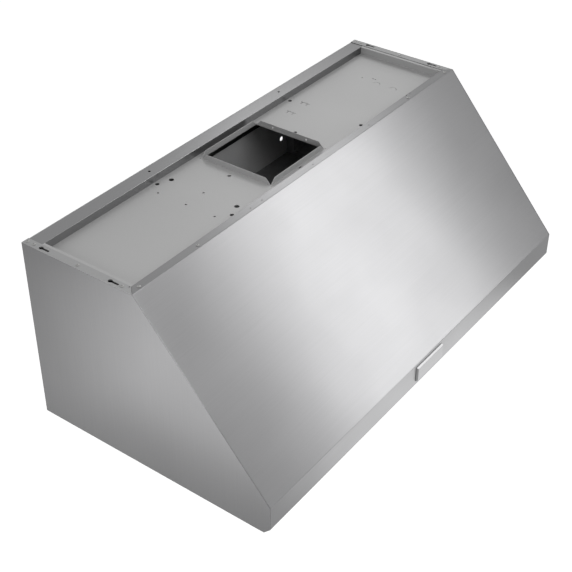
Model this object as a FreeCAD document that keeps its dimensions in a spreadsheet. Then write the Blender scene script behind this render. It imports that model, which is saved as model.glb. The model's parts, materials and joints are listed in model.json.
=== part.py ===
"""Wall mount range hood, in millimetres.

+X runs along the width, the wall is the plane y = 0 with the front towards -Y, and +Z is up.
The origin is the middle of the bottom edge of the wall face.
"""
import FreeCAD, Part
import math
import os
import re

import Sketcher

doc = FreeCAD.newDocument("range_hood")

FILTER_COUNT = 4
VANE_COUNT = 8
BLADE_COUNT = 36

# Driving sizes
SIZES = {
    # Shell
    "hood_width": 1219.2,
    "hood_height": 457.2,
    "hood_depth": 632,
    "top_depth": 303,
    "lip_top": 78,
    "lip_bottom": 18,
    "lip_undercut": 17,
    "front_return": 15,
    "sheet": 1.2,
    "top_flange": 20,
    "side_bottom_flange": 10,
    "side_rear_flange": 20,
    "front_side_fold": 18,
    "fold_top_drop": 30,
    "rear_bottom_flange": 20,
    "rail_depth": 38.5,
    "rail_rear_leg": 78,
    "seam_gap": 0.4,
    "mitre_gap": 0.6,
    "fit_gap": 0.3,
    "corner_gap": 1,
    # Holes in the shell
    "wall_hole_radius": 6,
    "wall_hole_spacing": 552,
    "wall_hole_height": 302,
    "keyhole_radius": 5,
    "keyhole_slot_radius": 2.5,
    "keyhole_run": 20,
    "keyhole_rear": 47.5,
    "keyhole_spacing": 190,
    "flange_hole_inset": 9.6,
    "rail_hole_radius": 3,
    "rail_hole_spacing": 482,
    "rail_hole_back": 19,
    "flange_pilot_radius": 1.6,
    "flange_pilot_spacing": 458,
    "flange_odd_pilot": 189,
    "side_pilot_front": 22,
    "flange_dot_out": 413,
    "flange_dot_pitch": 16,
    "flange_dot_inset": 2.6,
    "flange_dot_radius": 1.5,
    # Screws of the top flanges
    "screw_radius": 2,
    "screw_clearance": 0.3,
    "screw_head_radius": 4,
    "screw_head_height": 1.8,
    "screw_length": 8,
    "screw_wall": 8,
    "screw_rail": 26,
    "screw_middle": 149,
    "screw_front": 35,
    "front_screw_inset": 28.6,
    "front_screw_inner_spacing": 808,
    "front_screw_back": 8,
    # Top deck and duct collar
    "deck_drop": 20,
    "deck_inset": 28,
    "deck_front_lip": 13,
    "collar_width": 206,
    "collar_rise": 14,
    "collar_chamfer": 15,
    "collar_rear_margin": 15.5,
    "collar_front_margin": 29,
    "collar_pilot_radius": 2,
    "collar_pilot_spacing": 98,
    "relief_radius": 1.5,
    "relief_offset": 1.8,
    "rod_hole_radius": 5,
    "rod_spacing": 498,
    "rod_beyond_collar": 6,
    "kit_hole_radius": 6,
    "kit_hole_out": 216,
    "kit_inside_collar": 7,
    "pilot_radius": 2.6,
    "pilot_out": 276,
    "pilot_inside_collar": 20,
    "collar_hole_radius": 4.5,
    "collar_hole_gap": 22.5,
    "front_slot_radius": 2,
    "front_slot_run": 5,
    "front_slot_gap": 5,
    "lance_out": 202,
    "lance_pitch": 59,
    "lance_length": 27,
    "lance_slit": 1.6,
    "lance_tooth": 9,
    "lance_tooth_inset": 5,
    "lance_back": 72.5,
    "knockout_out": 454.5,
    "knockout_ahead": 16,
    "knockout_pitch": 49,
    "knockout_radius": 10.5,
    "knockout_slit": 1.2,
    "dot_radius": 2.2,
    "dot_beyond_knockout": 20.5,
    "dot_back": 7,
    "dot_pitch": 7.5,
    "lone_dot_radius": 1.7,
    "lone_dot_beyond": 9.5,
    # Badge plate
    "badge_width": 115,
    "badge_height": 40,
    "badge_thick": 4.5,
    "badge_bevel": 3,
    # Blowers
    "blower_side_gap": 44,
    "blower_rear_gap": 20.6,
    "blower_height": 110,
    "scroll_radius": 100,
    "scroll_step": 14,
    "cutoff_height": 40,
    "outlet_reach": 150,
    "inlet_radius": 66,
    "inlet_flare": 6,
    "inlet_flange": 18,
    "inlet_throat": 16,
    "motor_radius": 48,
    "motor_height": 52,
    "motor_chamfer": 6,
    "motor_top_gap": 8,
    "motor_cap_radius": 14,
    "motor_cap_height": 4,
    "bearing_radius": 12,
    "bearing_drop": 6,
    "shaft_radius": 4,
    "shaft_rise": 40,
    "running_clearance": 0.05,
    "wheel_radius": 85,
    "wheel_top_gap": 10,
    "wheel_height": 79.5,
    "wheel_plate": 1.5,
    "wheel_ring": 9,
    "blade_inner_radius": 71,
    "blade_sweep": 7,
    "blade_thick": 1,
    "hub_radius": 12,
    "hub_height": 30,
    "hanger_sheet": 1.5,
    "hanger_width": 40,
    "hanger_foot": 15,
    "hanger_motor_gap": 6,
    "capacitor_radius": 14,
    "capacitor_height": 48,
    "capacitor_inboard": 70,
    "capacitor_behind": 95,
    # Plenum and junction box
    "plenum_front_gap": 13,
    "plenum_floor_gap": 12,
    "junction_width": 140,
    "junction_depth": 46,
    "junction_height": 70,
    "junction_above_floor": 80,
    "junction_wall": 1.5,
    # Control panel, knobs and lamps
    "panel_depth": 142,
    "panel_rise": 30,
    "panel_front_leg": 32,
    "panel_rear_leg": 98,
    "panel_top_flange": 12,
    "knob_spacing": 100,
    "knob_radius": 20,
    "knob_height": 20,
    "knob_chamfer": 3,
    "knob_bezel_radius": 24,
    "knob_bezel_thick": 1.5,
    "knob_bezel_gap": 0.5,
    "spindle_radius": 3,
    "spindle_hole_radius": 5,
    "spindle_seat": 14,
    "spindle_rise": 22,
    "switch_width": 34,
    "switch_height": 30,
    "pointer_width": 2.4,
    "pointer_depth": 0.8,
    "lamp_inner_spacing": 400,
    "lamp_side_inset": 129.6,
    "lamp_radius": 29.5,
    "lamp_height": 38,
    "lamp_rim": 4,
    "lamp_rim_thick": 1.8,
    "lens_radius": 26,
    "lens_thick": 2.5,
    "bezel_radius": 36,
    "bezel_thick": 3,
    # Baffle filters
    "hinge_back": 84,
    "hinge_height": 46,
    "filter_tilt": 7.5,
    "filter_rear_reach": 20,
    "filter_front_gap": 4.5,
    "filter_thick": 22,
    "filter_border": 14,
    "filter_side_gap": 2,
    "pin_radius": 2.5,
    "pin_reach": 3.6,
    "ear_thick": 8,
    "ear_gap": 0.5,
    "ear_half_width": 9,
    "vane_width": 20,
    "vane_height": 12,
    "vane_sheet": 0.8,
    "bolt_width": 32,
    "bolt_length": 25,
    "bolt_thick": 3,
    "bolt_reach": 3,
    "bolt_tab": 10,
    "keeper_length": 12,
    "keeper_wall": 3,
    "keeper_lip": 4,
    "keeper_set_back": 2,
    # Rear rail of the filters and grease trays
    "shelf_height": 78,
    "shelf_depth": 96,
    "shelf_front_drop": 10,
    "shelf_rear_rise": 20,
    "hanger_plate": 6,
    "tray_hanger_inset": 12,
    "tray_front": 74,
    "tray_rear": 22,
    "tray_bottom": 6,
    "tray_height": 24,
}

# Places and sizes that follow from the driving sizes
PLACES = {
    "half_width": "hood_width / 2",
    "inner_half": "half_width - sheet",
    "front_half": "inner_half - seam_gap",
    "flange_half": "half_width - top_flange",
    "flange_under": "hood_height - sheet",
    "slope": "(hood_depth - top_depth) / (hood_height - lip_top)",
    "slope_thick": "sheet * sqrt(1 + slope * slope)",
    "fold_top": "hood_height - fold_top_drop",
    "hole_line": "half_width - flange_hole_inset",
    "keyhole_front": "keyhole_rear + keyhole_spacing",
    "side_pilot_line": "flange_half + 2 * flange_pilot_radius",
    "side_pilot_back": "top_depth - side_pilot_front",
    "screw_hole_radius": "screw_radius + screw_clearance",
    "screw_front_back": "top_depth - screw_front",
    "front_screw_line": "top_depth - front_screw_back",
    "deck_front": "top_depth - top_flange",
    "flange_dot_back": "deck_front + flange_dot_inset",
    "deck_top": "hood_height - deck_drop",
    "deck_under": "deck_top - sheet",
    "deck_half": "half_width - deck_inset",
    "deck_lip_half": "inner_half - corner_gap",
    "collar_back": "rail_depth + collar_rear_margin",
    "collar_front": "deck_front - collar_front_margin",
    "collar_middle": "(collar_back + collar_front) / 2",
    "collar_half": "collar_width / 2",
    "collar_half_depth": "(collar_front - collar_back) / 2",
    "badge_middle": "(lip_top + lip_bottom) / 2",
    "scroll_mid_radius": "scroll_radius + scroll_step",
    "scroll_end_radius": "scroll_radius + 2 * scroll_step",
    "scroll_rear": "scroll_end_radius + scroll_step",
    "blower_x": "inner_half - blower_side_gap - scroll_mid_radius",
    "blower_y": "-(2 * sheet + blower_rear_gap + scroll_rear)",
    "blower_top": "deck_under - motor_top_gap - motor_cap_height - motor_height",
    "blower_bottom": "blower_top - blower_height",
    "scroll_low": "blower_bottom + sheet",
    "scroll_high": "blower_top - sheet",
    "bell_radius": "inlet_radius + inlet_flare",
    "wheel_top": "blower_top - wheel_top_gap",
    "hanger_half": "motor_radius + hanger_motor_gap",
    "plenum_half": "blower_x - outlet_reach",
    "plenum_inner_half": "plenum_half - sheet",
    "plenum_front": "deck_front - plenum_front_gap",
    "plenum_floor": "blower_bottom - plenum_floor_gap",
    "panel_half": "inner_half - corner_gap",
    "panel_front": "hood_depth - sheet",
    "panel_back": "hood_depth - panel_depth",
    "panel_middle": "hood_depth - panel_depth / 2",
    "panel_top": "panel_rise + sheet",
    "knob_top": "panel_rise - knob_bezel_thick - knob_bezel_gap",
    "knob_bottom": "knob_top - knob_height",
    "lamp_outer": "half_width - lamp_side_inset",
    "lamp_hole_radius": "lamp_radius + fit_gap",
    "filter_depth": "panel_back - hinge_back - filter_front_gap",
    "filter_half_span": "inner_half - side_bottom_flange - filter_side_gap",
    "filter_pitch_gap": "ear_thick + 2 * ear_gap",
    "filter_gaps": "%d * filter_pitch_gap" % (FILTER_COUNT - 1),
    "filter_width": "(2 * filter_half_span - filter_gaps) / %d" % FILTER_COUNT,
    "filter_pitch": "filter_width + filter_pitch_gap",
    "filter_half_thick": "filter_thick / 2",
    "channel_half": "filter_half_thick - sheet",
    "vane_pitch": "(filter_width - 2 * filter_border) / %d" % VANE_COUNT,
    "vane_length": "filter_depth + filter_rear_reach - 2 * sheet - 2 * fit_gap",
    "bolt_top": "filter_half_thick + fit_gap",
    "bolt_under": "bolt_top + bolt_thick",
    "keeper_in": "bolt_width / 2 + fit_gap",
    "shelf_under": "shelf_height - sheet",
    "filter_swing": "sqrt(filter_rear_reach * filter_rear_reach + filter_half_thick * filter_half_thick)",
    "hanger_front": "hinge_back - filter_swing - corner_gap",
    "shelf_half": "inner_half - side_rear_flange - corner_gap",
    "tray_outer": "inner_half - tray_hanger_inset - hanger_plate - fit_gap",
    "tray_inner": "hanger_plate / 2 + fit_gap",
    "tray_length": "tray_outer - tray_inner",
}

HOME = {name: "Size" for name in SIZES}
HOME.update({name: "Place" for name in PLACES})


def bound(formula):
    """A formula of size names, written as an expression on the two sheets."""
    def qualified(word):
        name = word.group()
        return HOME[name] + "." + name if name in HOME else name
    return re.sub(r"[a-z]\w*", qualified, formula)


def fill_sheet(sheet_name, cells):
    """A sheet with a name and a value on each row, the value under that name as its alias."""
    sheet = doc.addObject("Spreadsheet::Sheet", sheet_name)
    for row, (name, content) in enumerate(cells.items(), start=1):
        sheet.set("A%d" % row, name)
        sheet.set("B%d" % row, content)
        sheet.setAlias("B%d" % row, name)
    doc.recompute()
    return sheet


fill_sheet("Size", {name: str(number) for name, number in SIZES.items()})
places = fill_sheet("Place", {name: "=" + bound(formula) for name, formula in PLACES.items()})


def value(formula):
    """The number that a formula gives now."""
    return float(places.evalExpression(bound(formula)))


def bind(thing, **formulas):
    """Bind properties to formulas; a double underscore stands for a dot."""
    for name, formula in formulas.items():
        thing.setExpression(name.replace("__", "."), bound(formula))
    return thing


def place(thing, x="0", y="0", z="0"):
    """Bind where a piece stands."""
    return bind(thing, Placement__Base__x=x, Placement__Base__y=y, Placement__Base__z=z)


# Sketches and features

def new_body(name):
    return doc.addObject("PartDesign::Body", name)


def new_sketch(body, plane, lift="0"):
    """A sketch on one of the body's own planes, lifted along that plane's normal."""
    sketch = body.newObject("Sketcher::SketchObject", body.Name + "_sketch")
    origin_plane = [item for item in body.Origin.OriginFeatures if item.Role == plane][0]
    sketch.AttachmentSupport = [(origin_plane, "")]
    sketch.MapMode = "FlatFace"
    return bind(sketch, AttachmentOffset__Base__z=lift)


def dimension(sketch, kind, formula, *where):
    """A driving constraint of a sketch, bound to a formula."""
    index = sketch.addConstraint(Sketcher.Constraint(kind, *where, value(formula)))
    sketch.setExpression("Constraints[%d]" % index, bound(formula))


def fix_point(sketch, line, end, across, along):
    """Dimension a point from the sketch's origin."""
    dimension(sketch, "DistanceX", across, -1, 1, line, end)
    dimension(sketch, "DistanceY", along, -1, 1, line, end)


def add_loop(sketch, points):
    """Closed loop of straight lines; gives the number of its first line."""
    first = sketch.GeometryCount
    count = len(points)
    for index in range(count):
        start = FreeCAD.Vector(*points[index], 0)
        finish = FreeCAD.Vector(*points[(index + 1) % count], 0)
        sketch.addGeometry(Part.LineSegment(start, finish), False)
    for index in range(count):
        after = first + (index + 1) % count
        sketch.addConstraint(Sketcher.Constraint("Coincident", first + index, 2, after, 1))
    return first


def polygon(sketch, corners):
    """Closed outline whose corners are pairs of formulas."""
    first = add_loop(sketch, [(value(across), value(along)) for across, along in corners])
    for index, (across, along) in enumerate(corners):
        fix_point(sketch, first + index, 1, across, along)


def rectangle(sketch, left, right, low, high):
    polygon(sketch, [(left, low), (right, low), (right, high), (left, high)])


def circle(sketch, across, along, radius):
    centre = FreeCAD.Vector(value(across), value(along), 0)
    index = sketch.addGeometry(Part.Circle(centre, FreeCAD.Vector(0, 0, 1), value(radius)), False)
    dimension(sketch, "Radius", radius, index)
    fix_point(sketch, index, 3, across, along)


def half_ring(sketch, across, along, radius, width):
    """Outline of half a ring, bulging to the right of its centre."""
    centre = FreeCAD.Vector(value(across), value(along), 0)
    outer = sketch.GeometryCount
    for size in (radius, "(%s - %s)" % (radius, width)):
        full = Part.Circle(centre, FreeCAD.Vector(0, 0, 1), value(size))
        arc = sketch.addGeometry(Part.ArcOfCircle(full, -math.pi / 2, math.pi / 2), False)
        dimension(sketch, "Radius", size, arc)
        fix_point(sketch, arc, 3, across, along)
        for end in (1, 2):
            dimension(sketch, "DistanceX", across, -1, 1, arc, end)
    inner = outer + 1
    for end in (1, 2):
        start = sketch.getPoint(outer, end)
        finish = sketch.getPoint(inner, end)
        line = sketch.addGeometry(Part.LineSegment(start, finish), False)
        sketch.addConstraint(Sketcher.Constraint("Coincident", line, 1, outer, end))
        sketch.addConstraint(Sketcher.Constraint("Coincident", line, 2, inner, end))


def offset_chain(points, thickness):
    """Where the other face of a bent sheet runs, on the left of the chain."""
    moved = []
    for index, point in enumerate(points):
        normals = []
        for start, finish in ((index - 1, index), (index, index + 1)):
            if 0 <= start and finish < len(points):
                run = points[finish] - points[start]
                normals.append(FreeCAD.Vector(-run.y, run.x, 0).normalize())
        bisector = normals[0] + normals[-1]
        moved.append(point + bisector * (2 * thickness / bisector.dot(bisector)))
    return moved


def bent_sheet(sketch, chain, thickness):
    """Section of a bent sheet: one face follows the chain, the other lies on its left."""
    near = [FreeCAD.Vector(value(across), value(along), 0) for across, along in chain]
    far = offset_chain(near, value(thickness))
    loop = near + far[::-1]
    count = len(chain)
    first = add_loop(sketch, [(point.x, point.y) for point in loop])
    for index, (across, along) in enumerate(chain):
        fix_point(sketch, first + index, 1, across, along)
    last = 2 * count - 1
    for index in range(count - 1):
        near_line = first + index
        far_line = first + last - 1 - index
        sketch.addConstraint(Sketcher.Constraint("Parallel", near_line, far_line))
        dimension(sketch, "Distance", thickness, far_line, 1, near_line)
    sketch.addConstraint(Sketcher.Constraint("Perpendicular", first + count - 1, first + count - 2))
    sketch.addConstraint(Sketcher.Constraint("Perpendicular", first + last, first))


def pad(body, sketch, length):
    feature = body.newObject("PartDesign::Pad", body.Name + "_pad")
    feature.Profile = sketch
    return bind(feature, Length=length)


def pocket(body, sketch, length, upward=False):
    """Cut from the sketch against its normal, or along it."""
    feature = body.newObject("PartDesign::Pocket", body.Name + "_pocket")
    feature.Profile = sketch
    feature.Reversed = upward
    return bind(feature, Length=length)


def revolve(body, sketch):
    """Turn a sketch round its own upright axis."""
    feature = body.newObject("PartDesign::Revolution", body.Name + "_turned")
    feature.Profile = sketch
    feature.ReferenceAxis = (sketch, ["V_Axis"])
    feature.Angle = 360
    return feature


def add_plate(body, plane, lift, length, corners):
    """Pad a polygon from a lifted plane."""
    sketch = new_sketch(body, plane, lift)
    polygon(sketch, corners)
    return pad(body, sketch, length)


def add_block(body, x, y, z):
    """Pad a block between pairs of formulas."""
    sketch = new_sketch(body, "XY_Plane", z[0])
    rectangle(sketch, *x, *y)
    return pad(body, sketch, "(%s) - (%s)" % (z[1], z[0]))


def sheet_along_x(name, chain, half, thickness="sheet"):
    """Body of a bent sheet whose section is drawn in Y and Z."""
    body = new_body(name)
    sketch = new_sketch(body, "YZ_Plane", "-(%s)" % half)
    bent_sheet(sketch, chain, thickness)
    pad(body, sketch, "2 * (%s)" % half)
    return body


def drill(body, top, depth, holes):
    """Cut round holes, each across, along and radius, downward from a level."""
    sketch = new_sketch(body, "XY_Plane", top)
    for hole in holes:
        circle(sketch, *hole)
    return pocket(body, sketch, depth)


# Solids and copies

def block(name, x, y, z):
    """Box between pairs of formulas."""
    box = doc.addObject("Part::Box", name)
    sides = ["(%s) - (%s)" % (high, low) for low, high in (x, y, z)]
    bind(box, Length=sides[0], Width=sides[1], Height=sides[2])
    return place(box, x[0], y[0], z[0])


def rod(name, radius, length, x="0", y="0", z="0"):
    """Upright cylinder standing on a point."""
    cylinder = doc.addObject("Part::Cylinder", name)
    bind(cylinder, Radius=radius, Height=length)
    return place(cylinder, x, y, z)


def joined(name, *pieces):
    fuse = doc.addObject("Part::MultiFuse", name)
    fuse.Shapes = list(pieces)
    fuse.Refine = True
    return fuse


def cut(name, base, *tools):
    result = doc.addObject("Part::Cut", name)
    result.Base = base
    result.Tool = tools[0] if len(tools) == 1 else joined(name + "_tools", *tools)
    result.Refine = True
    return result


def group(name, *pieces):
    compound = doc.addObject("Part::Compound", name)
    compound.Links = list(pieces)
    return compound


def copy_at(name, source, x="0", y="0", z="0"):
    return place(group(name, source), x, y, z)


def mirrored(name, source):
    """Left-hand twin of a right-hand piece."""
    mirror = doc.addObject("Part::Mirroring", name)
    mirror.Source = source
    mirror.Normal = FreeCAD.Vector(1, 0, 0)
    return mirror


def pair(name, right):
    """Left and right pieces of a name."""
    return {"right_" + name: right, "left_" + name: mirrored("left_" + name, right)}


# Shell

SIDE_SCREWS = ["screw_wall", "screw_rail", "screw_middle", "screw_front_back"]
FLANGE_DOTS = [
    ("flange_dot_out", "-flange_dot_back", "flange_dot_radius"),
    ("flange_dot_out + flange_dot_pitch", "-flange_dot_back", "flange_dot_radius"),
]


def cut_keyholes(body, top, side=""):
    """Keyholes for hanging the hood under a soffit, through one sheet."""
    line = side + "hole_line"
    slots = new_sketch(body, "XY_Plane", top)
    holes = []
    for start in ("keyhole_rear", "keyhole_front"):
        end = "-(%s + keyhole_run)" % start
        rectangle(slots, line + " - keyhole_slot_radius", line + " + keyhole_slot_radius", end, "-" + start)
        holes.append((line, "-" + start, "keyhole_radius"))
        holes.append((line, end, "keyhole_slot_radius"))
    pocket(body, slots, "sheet")
    drill(body, top, "sheet", holes)


def side_panel():
    """Right side: skin, top flange with mitred end, rear flange and bottom flange."""
    body = new_body("right_side_panel")
    outline = [
        ("0", "0"),
        ("0", "hood_height"),
        ("-top_depth", "hood_height"),
        ("-hood_depth", "lip_top"),
        ("-hood_depth", "lip_bottom"),
        ("lip_undercut - hood_depth", "0"),
    ]
    add_plate(body, "YZ_Plane", "inner_half", "sheet", outline)
    top_flange = [
        ("inner_half", "0"),
        ("flange_half", "0"),
        ("flange_half", "top_flange + mitre_gap - top_depth"),
        ("inner_half", "sheet + mitre_gap - top_depth"),
    ]
    add_plate(body, "XY_Plane", "flange_under", "sheet", top_flange)
    rear_flange_top = "flange_under - rail_rear_leg - corner_gap"
    add_block(body, ("inner_half - side_rear_flange", "inner_half"), ("-2 * sheet", "-sheet"),
              ("rear_bottom_flange", rear_flange_top))
    bottom_flange_front = "lip_undercut + front_return + corner_gap - hood_depth"
    add_block(body, ("inner_half - side_bottom_flange", "inner_half"),
              (bottom_flange_front, "-(rear_bottom_flange + corner_gap)"), ("0", "sheet"))
    holes = [("hole_line", "-" + back, "screw_hole_radius") for back in SIDE_SCREWS]
    holes.append(("side_pilot_line", "-side_pilot_back", "flange_pilot_radius"))
    drill(body, "hood_height", "sheet", holes)
    cut_keyholes(body, "hood_height")
    return body


def front_panel():
    """Top flange, slope, lip and return in one bent sheet, with folds inside the side panels."""
    chain = [
        ("-deck_front", "hood_height"),
        ("-top_depth", "hood_height"),
        ("-hood_depth", "lip_top"),
        ("-hood_depth", "lip_bottom"),
        ("lip_undercut - hood_depth", "0"),
        ("lip_undercut + front_return - hood_depth", "0"),
    ]
    body = sheet_along_x("front_panel", chain, "front_half")
    for side in ("", "-"):
        corner = new_sketch(body, "XY_Plane", "hood_height")
        polygon(corner, [
            (side + "(flange_half - corner_gap)", "corner_gap - deck_front"),
            (side + "(half_width + corner_gap)", "corner_gap - deck_front"),
            (side + "(half_width + corner_gap)", "-(top_depth + corner_gap)"),
        ])
        pocket(body, corner, "sheet")
        inner_foot = "slope_thick - hood_depth"
        inner_head = "slope_thick - hood_depth + (fold_top - lip_top) * slope"
        lift = "front_half - sheet" if side == "" else "-front_half"
        add_plate(body, "YZ_Plane", lift, "sheet", [
            (inner_foot, "lip_top"),
            (inner_foot + " + front_side_fold", "lip_top"),
            (inner_head + " + front_side_fold", "fold_top"),
            (inner_head, "fold_top"),
        ])
    screws = []
    for side in ("", "-"):
        screws.append((side + "(half_width - front_screw_inset)", "-front_screw_line", "screw_hole_radius"))
        screws.append((side + "front_screw_inner_spacing / 2", "-front_screw_line", "screw_hole_radius"))
        screws.append((side + "flange_pilot_spacing / 2", "-front_screw_line", "flange_pilot_radius"))
    for x in ("0", "-flange_odd_pilot"):
        screws.append((x, "-front_screw_line", "flange_pilot_radius"))
    drill(body, "hood_height", "sheet", screws + FLANGE_DOTS)
    return body


def rear_panel():
    """Back sheet with its bottom flange and the two wall holes."""
    chain = [("-rear_bottom_flange", "0"), ("0", "0"), ("0", "flange_under")]
    body = sheet_along_x("rear_panel", chain, "inner_half")
    holes = new_sketch(body, "XZ_Plane")
    for side in ("", "-"):
        circle(holes, side + "wall_hole_spacing / 2", "wall_hole_height", "wall_hole_radius")
    pocket(body, holes, "sheet", upward=True)
    return body


def rear_top_rail():
    """Channel across the back of the top."""
    chain = [
        ("-sheet", "flange_under - rail_rear_leg"),
        ("-sheet", "flange_under"),
        ("-rail_depth", "flange_under"),
        ("-rail_depth", "deck_top"),
    ]
    body = sheet_along_x("rear_top_rail", chain, "inner_half")
    holes = []
    for side in ("", "-"):
        holes.append((side + "rail_hole_spacing / 2", "-rail_hole_back", "rail_hole_radius"))
        for back in ("screw_wall", "screw_rail"):
            holes.append((side + "hole_line", "-" + back, "screw_hole_radius"))
    drill(body, "flange_under", "sheet", holes)
    return body


def deck_collar(body):
    """Four bent-up flanges round the duct opening, with chamfered ends."""
    rim = "deck_top + collar_rise"
    for side in ("", "-"):
        lift = "collar_half - sheet" if side == "" else "-collar_half"
        add_plate(body, "YZ_Plane", lift, "sheet", [
            ("-collar_back", "deck_under"),
            ("-collar_back - collar_chamfer", rim),
            ("-collar_front + collar_chamfer", rim),
            ("-collar_front", "deck_under"),
        ])
    for front in ("collar_back + sheet", "collar_front"):
        add_plate(body, "XZ_Plane", front + " - sheet", "sheet", [
            ("-collar_half", "deck_under"),
            ("-collar_half + collar_chamfer", rim),
            ("collar_half - collar_chamfer", rim),
            ("collar_half", "deck_under"),
        ])
    pilots = new_sketch(body, "YZ_Plane", "collar_half")
    for side in ("", "-"):
        circle(pilots, side + "collar_pilot_spacing / 2 - collar_middle", "deck_top + collar_rise / 2",
               "collar_pilot_radius")
    pocket(body, pilots, "sheet")


def deck_holes(body):
    """Fixing holes, slots and lances of the deck floor."""
    holes = []
    for along in ("", "-"):
        rod_y = along + "(collar_half_depth + rod_beyond_collar) - collar_middle"
        kit_y = along + "(collar_half_depth - kit_inside_collar) - collar_middle"
        pilot_y = along + "(collar_half_depth - pilot_inside_collar) - collar_middle"
        holes.append(("rod_spacing / 2", rod_y, "rod_hole_radius"))
        holes.append(("-rod_spacing / 2", rod_y, "rod_hole_radius"))
        holes.append(("-kit_hole_out", kit_y, "kit_hole_radius"))
        holes.append(("-pilot_out", pilot_y, "pilot_radius"))
        holes.append((along + "(collar_half + collar_hole_gap)", "-collar_middle", "collar_hole_radius"))
        relief_y = along + "(collar_half_depth + relief_offset) - collar_middle"
        holes.append(("collar_half + relief_offset", relief_y, "relief_radius"))
        holes.append(("-(collar_half + relief_offset)", relief_y, "relief_radius"))
    holes.append(("-pilot_out", "-collar_middle", "pilot_radius"))
    holes.append(("-kit_hole_out", "-collar_middle", "pilot_radius"))
    for pitches in ("0", "1"):
        holes.append(("knockout_out + dot_beyond_knockout",
                      "dot_back - %s * dot_pitch - collar_middle" % pitches, "dot_radius"))
    holes.append(("knockout_out + lone_dot_beyond", "knockout_pitch - knockout_ahead - collar_middle",
                  "lone_dot_radius"))
    drill(body, "deck_top", "sheet", holes)
    slits = new_sketch(body, "XY_Plane", "deck_top")
    rectangle(slits, "-front_slot_run / 2 - front_slot_radius", "front_slot_run / 2 + front_slot_radius",
              "-collar_front - front_slot_gap - front_slot_radius",
              "-collar_front - front_slot_gap + front_slot_radius")
    for steps in ("-1", "0"):
        half_ring(slits, "knockout_out", steps + " * knockout_pitch - knockout_ahead - collar_middle",
                  "knockout_radius", "knockout_slit")
    for out in ("lance_out", "lance_out + lance_pitch"):
        lance(slits, out)
    pocket(body, slits, "sheet")


def lance(sketch, left):
    """Slit running towards the front, with two teeth on its left."""
    bar = left + " + lance_slit"
    tip = left + " - lance_tooth"
    rear = "-lance_back"
    front = "-(lance_back + lance_length)"
    polygon(sketch, [
        (left, front),
        (bar, front),
        (bar, rear),
        (left, rear),
        (left, rear + " - lance_tooth_inset"),
        (tip, rear + " - lance_tooth_inset"),
        (tip, rear + " - lance_tooth_inset - lance_slit"),
        (left, rear + " - lance_tooth_inset - lance_slit"),
        (left, front + " + lance_tooth_inset + lance_slit"),
        (tip, front + " + lance_tooth_inset + lance_slit"),
        (tip, front + " + lance_tooth_inset"),
        (left, front + " + lance_tooth_inset"),
    ])


def top_deck():
    """Recessed top with its side walls, lips under the flanges, front wall and duct collar."""
    body = new_body("top_deck")
    section = new_sketch(body, "XZ_Plane", "2 * sheet + fit_gap")
    bent_sheet(section, [
        ("deck_lip_half", "flange_under"),
        ("deck_half", "flange_under"),
        ("deck_half", "deck_top"),
        ("-deck_half", "deck_top"),
        ("-deck_half", "flange_under"),
        ("-deck_lip_half", "flange_under"),
    ], "sheet")
    pad(body, section, "deck_front - 2 * sheet - fit_gap")
    under_rail = new_sketch(body, "XY_Plane", "deck_top")
    rectangle(under_rail, "-half_width", "half_width", "-rail_depth - fit_gap", "0")
    pocket(body, under_rail, "deck_drop", upward=True)
    add_block(body, ("-deck_half", "deck_half"), ("-deck_front", "sheet - deck_front"),
              ("deck_under", "flange_under"))
    add_block(body, ("-deck_half", "deck_half"), ("-deck_front - deck_front_lip", "sheet - deck_front"),
              ("flange_under - sheet", "flange_under"))
    opening = new_sketch(body, "XY_Plane", "deck_top")
    rectangle(opening, "-collar_half", "collar_half", "-collar_front", "-collar_back")
    pocket(body, opening, "sheet")
    deck_collar(body)
    deck_holes(body)
    lip_holes = list(FLANGE_DOTS)
    for side in ("", "-"):
        cut_keyholes(body, "flange_under", side)
        lip_holes.append((side + "side_pilot_line", "-side_pilot_back", "flange_pilot_radius"))
        for back in ("screw_middle", "screw_front_back"):
            lip_holes.append((side + "hole_line", "-" + back, "screw_hole_radius"))
        for out in ("(half_width - front_screw_inset)", "front_screw_inner_spacing / 2"):
            lip_holes.append((side + out, "-front_screw_line", "screw_hole_radius"))
    drill(body, "flange_under", "sheet", lip_holes)
    return body


def badge_plate():
    """Plain plate on the lip, with bevelled edges."""
    wedge = doc.addObject("Part::Wedge", "badge_plate")
    bind(wedge, Xmin="-badge_width / 2", Xmax="badge_width / 2", Ymin="0", Ymax="badge_thick",
         Zmin="-badge_height / 2", Zmax="badge_height / 2",
         X2min="badge_bevel - badge_width / 2", X2max="badge_width / 2 - badge_bevel",
         Z2min="badge_bevel - badge_height / 2", Z2max="badge_height / 2 - badge_bevel")
    wedge.Placement.Rotation = FreeCAD.Rotation(FreeCAD.Vector(0, 0, 1), 180)
    return place(wedge, "0", "-hood_depth", "badge_middle")


def flange_screws():
    """Screws that hold the flanges to the rail and the deck."""
    screw = joined("screw", rod("screw_head", "screw_head_radius", "screw_head_height"),
                   rod("screw_shank", "screw_radius", "screw_length", z="-screw_length"))
    spots = []
    for side in ("", "-"):
        spots += [(side + "hole_line", "-" + back) for back in SIDE_SCREWS]
        spots.append((side + "(half_width - front_screw_inset)", "-front_screw_line"))
        spots.append((side + "front_screw_inner_spacing / 2", "-front_screw_line"))
    return group("flange_screws", *[copy_at("screw_at", screw, x, y, "hood_height") for x, y in spots])


def shell():
    nodes = pair("side_panel", side_panel())
    nodes["front_panel"] = front_panel()
    nodes["rear_panel"] = rear_panel()
    nodes["rear_top_rail"] = rear_top_rail()
    nodes["top_deck"] = top_deck()
    nodes["badge_plate"] = badge_plate()
    nodes["flange_screws"] = flange_screws()
    return nodes


# Blowers, plenum and junction box

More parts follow.
